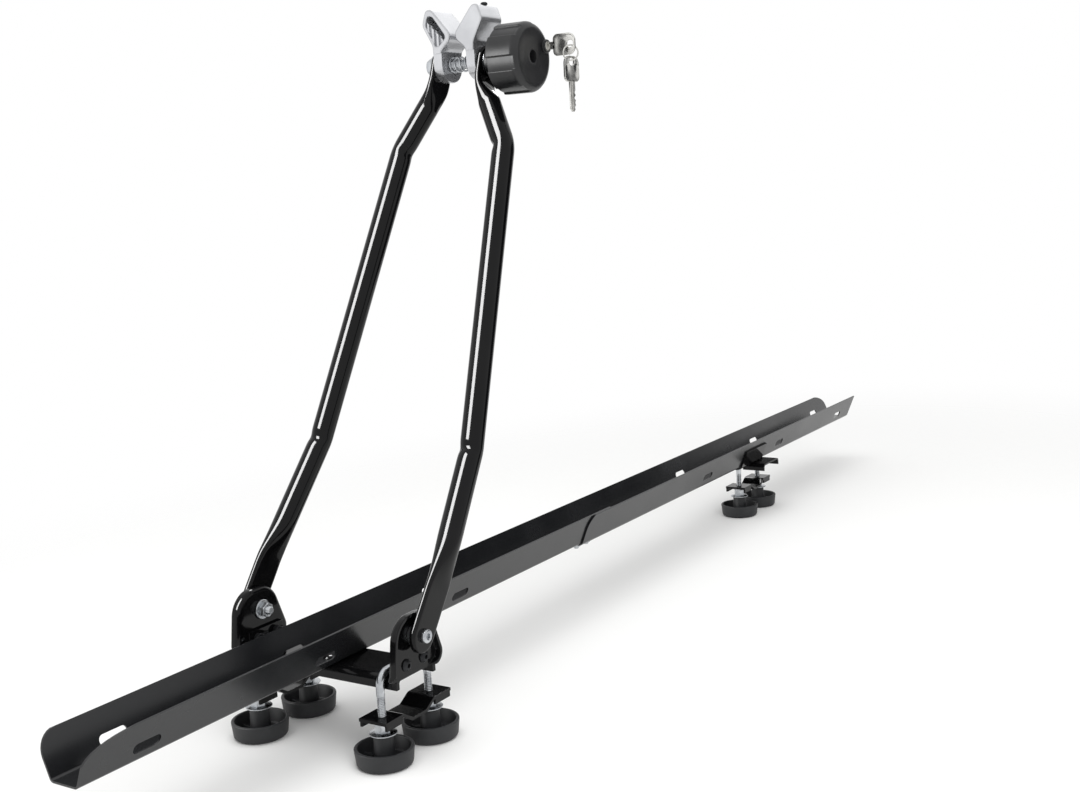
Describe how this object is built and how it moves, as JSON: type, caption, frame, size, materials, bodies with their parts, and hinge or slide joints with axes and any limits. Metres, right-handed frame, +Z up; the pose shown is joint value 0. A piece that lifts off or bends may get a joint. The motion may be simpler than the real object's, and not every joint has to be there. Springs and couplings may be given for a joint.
{
  "type": "roof mounted bike carrier",
  "caption": "Long wheel tray on two roof bar clamps, with a folding A-frame whose head holds a bicycle's down tube in jaws closed by a locking hand wheel.",
  "frame": {"origin": "middle of the base plate's underside, on top of the front roof bar", "axes": "+Y along the tray to its rear end, +X to the hand wheel's side, +Z up"},
  "size_m": [0.1837, 1.3, 0.5415],
  "materials": {
    "tray_coat": "satin black powder coat",
    "frame_coat": "gloss black paint",
    "zinc": "bright zinc plate",
    "cup_plastic": "matt black moulding",
    "knob_plastic": "satin dark grey moulding",
    "jaw_metal": "bright cast metal",
    "key_metal": "nickel plate",
    "lock_body": "black",
    "insert_brass": "plain",
    "dark_screw": "black oxide"
  },
  "bodies": {
    "carrier": {"front_tray": "tray_coat", "rear_tray": "tray_coat", "splice_bolts": "zinc", "splice_nuts": "zinc", "tray_rivets": "frame_coat", "base_plate": "frame_coat", "left_ear": "frame_coat", "right_ear": "frame_coat", "ear_bolts": "zinc", "ear_nuts": "zinc", "rear_saddle": "tray_coat", "front_left_u_bolt": "zinc", "front_right_u_bolt": "zinc", "rear_u_bolt": "zinc", "pivot_bolts": "zinc", "pivot_washers": "zinc", "pivot_nuts": "zinc"},
    "frame": {"right_tube": "frame_coat", "right_jaw": "jaw_metal", "jaw_screw": "dark_screw", "knob_washer": "zinc", "jaw_spring": "zinc"},
    "left_arm": {"left_tube": "frame_coat", "left_jaw": "jaw_metal"},
    "spindle": {"clamp_spindle": "zinc", "spindle_washer": "zinc", "spindle_nut": "zinc"},
    "knob": {"knob": "knob_plastic", "knob_insert": "insert_brass", "lock_barrel": "lock_body"},
    "key": {"lock_plug": "key_metal", "key": "key_metal"},
    "key_ring": {"key_ring": "key_metal"},
    "spare_key": {"spare_key": "key_metal"},
    "front_left_clamp": {"front_left_clamp_plate": "frame_coat", "front_left_washers": "zinc"},
    "front_left_nut_a": {"front_left_hand_nut_a": "cup_plastic", "front_left_insert_a": "zinc"},
    "front_left_nut_b": {"front_left_hand_nut_b": "cup_plastic", "front_left_insert_b": "zinc"},
    "front_right_clamp": {"front_right_clamp_plate": "frame_coat", "front_right_washers": "zinc"},
    "front_right_nut_a": {"front_right_hand_nut_a": "cup_plastic", "front_right_insert_a": "zinc"},
    "front_right_nut_b": {"front_right_hand_nut_b": "cup_plastic", "front_right_insert_b": "zinc"},
    "rear_clamp": {"rear_clamp_plate": "frame_coat", "rear_washers": "zinc"},
    "rear_nut_a": {"rear_hand_nut_a": "cup_plastic", "rear_insert_a": "zinc"},
    "rear_nut_b": {"rear_hand_nut_b": "cup_plastic", "rear_insert_b": "zinc"}
  },
  "joints": [
    {"name": "frame_fold", "type": "hinge", "parent": "carrier", "child": "frame", "pos_m": [0, -0.004, 0.03], "axis": [-1, 0, 0], "range_deg": [-27, 60]},
    {"name": "knob_turn", "type": "hinge", "parent": "frame", "child": "knob", "pos_m": [0.04, 0.203, 0.436], "axis": [1, 0, 0], "range_deg": [-360, 1440], "deforming": ["jaw_spring"]},
    {"name": "spindle_slide", "type": "slide", "parent": "frame", "child": "spindle", "axis": [-1, 0, 0], "range_m": [-0.0021, 0.0081]},
    {"name": "left_arm_splay", "type": "hinge", "parent": "frame", "child": "left_arm", "pos_m": [-0.051, -0.004, 0.03], "axis": [0, -0.8909, 0.4542], "range_deg": [-0.25, 1], "deforming": ["jaw_spring"]},
    {"name": "key_turn", "type": "hinge", "parent": "knob", "child": "key", "pos_m": [0.07, 0.21993, 0.44463], "axis": [1, 0, 0], "range_deg": [0, 90]},
    {"name": "ring_swing", "type": "hinge", "parent": "key", "child": "key_ring", "pos_m": [0.0904, 0.21993, 0.44363], "axis": [0.766, 0.6428, 0], "range_deg": [-22, 14]},
    {"name": "spare_key_swing", "type": "hinge", "parent": "key_ring", "child": "spare_key", "pos_m": [0.0904, 0.21993, 0.43063], "axis": [0.9848, -0.1736, 0], "range_deg": [-25, 25]},
    {"name": "front_left_clamp_slide", "type": "slide", "parent": "carrier", "child": "front_left_clamp", "axis": [0, 0, -1], "range_m": [0, 0.008]},
    {"name": "front_left_nut_a_turn", "type": "hinge", "parent": "front_left_clamp", "child": "front_left_nut_a", "pos_m": [-0.059, -0.027, -0.04], "axis": [0, 0, -1], "range_deg": [0, 2890]},
    {"name": "front_left_nut_b_turn", "type": "hinge", "parent": "front_left_clamp", "child": "front_left_nut_b", "pos_m": [-0.059, 0.027, -0.04], "axis": [0, 0, -1], "range_deg": [0, 2890]},
    {"name": "front_right_clamp_slide", "type": "slide", "parent": "carrier", "child": "front_right_clamp", "axis": [0, 0, -1], "range_m": [0, 0.008]},
    {"name": "front_right_nut_a_turn", "type": "hinge", "parent": "front_right_clamp", "child": "front_right_nut_a", "pos_m": [0.059, -0.027, -0.04], "axis": [0, 0, -1], "range_deg": [0, 2890]},
    {"name": "front_right_nut_b_turn", "type": "hinge", "parent": "front_right_clamp", "child": "front_right_nut_b", "pos_m": [0.059, 0.027, -0.04], "axis": [0, 0, -1], "range_deg": [0, 2890]},
    {"name": "rear_clamp_slide", "type": "slide", "parent": "carrier", "child": "rear_clamp", "axis": [0, 0, -1], "range_m": [0, 0.008]},
    {"name": "rear_nut_a_turn", "type": "hinge", "parent": "rear_clamp", "child": "rear_nut_a", "pos_m": [0, 0.718, -0.04], "axis": [0, 0, -1], "range_deg": [0, 2890]},
    {"name": "rear_nut_b_turn", "type": "hinge", "parent": "rear_clamp", "child": "rear_nut_b", "pos_m": [0, 0.772, -0.04], "axis": [0, 0, -1], "range_deg": [0, 2890]}
  ],
  "couplings": [
    {"joint": "spindle_slide", "follows": "left_arm_splay", "m_per_rad": 0.45572},
    {"joint": "knob_turn", "follows": "left_arm_splay", "ratio": 1431.7},
    {"joint": "front_left_nut_a_turn", "follows": "front_left_clamp_slide", "rad_per_m": 6283.2},
    {"joint": "front_left_nut_b_turn", "follows": "front_left_clamp_slide", "rad_per_m": 6283.2},
    {"joint": "front_right_nut_a_turn", "follows": "front_right_clamp_slide", "rad_per_m": 6283.2},
    {"joint": "front_right_nut_b_turn", "follows": "front_right_clamp_slide", "rad_per_m": 6283.2},
    {"joint": "rear_nut_a_turn", "follows": "rear_clamp_slide", "rad_per_m": 6283.2},
    {"joint": "rear_nut_b_turn", "follows": "rear_clamp_slide", "rad_per_m": 6283.2}
  ]
}
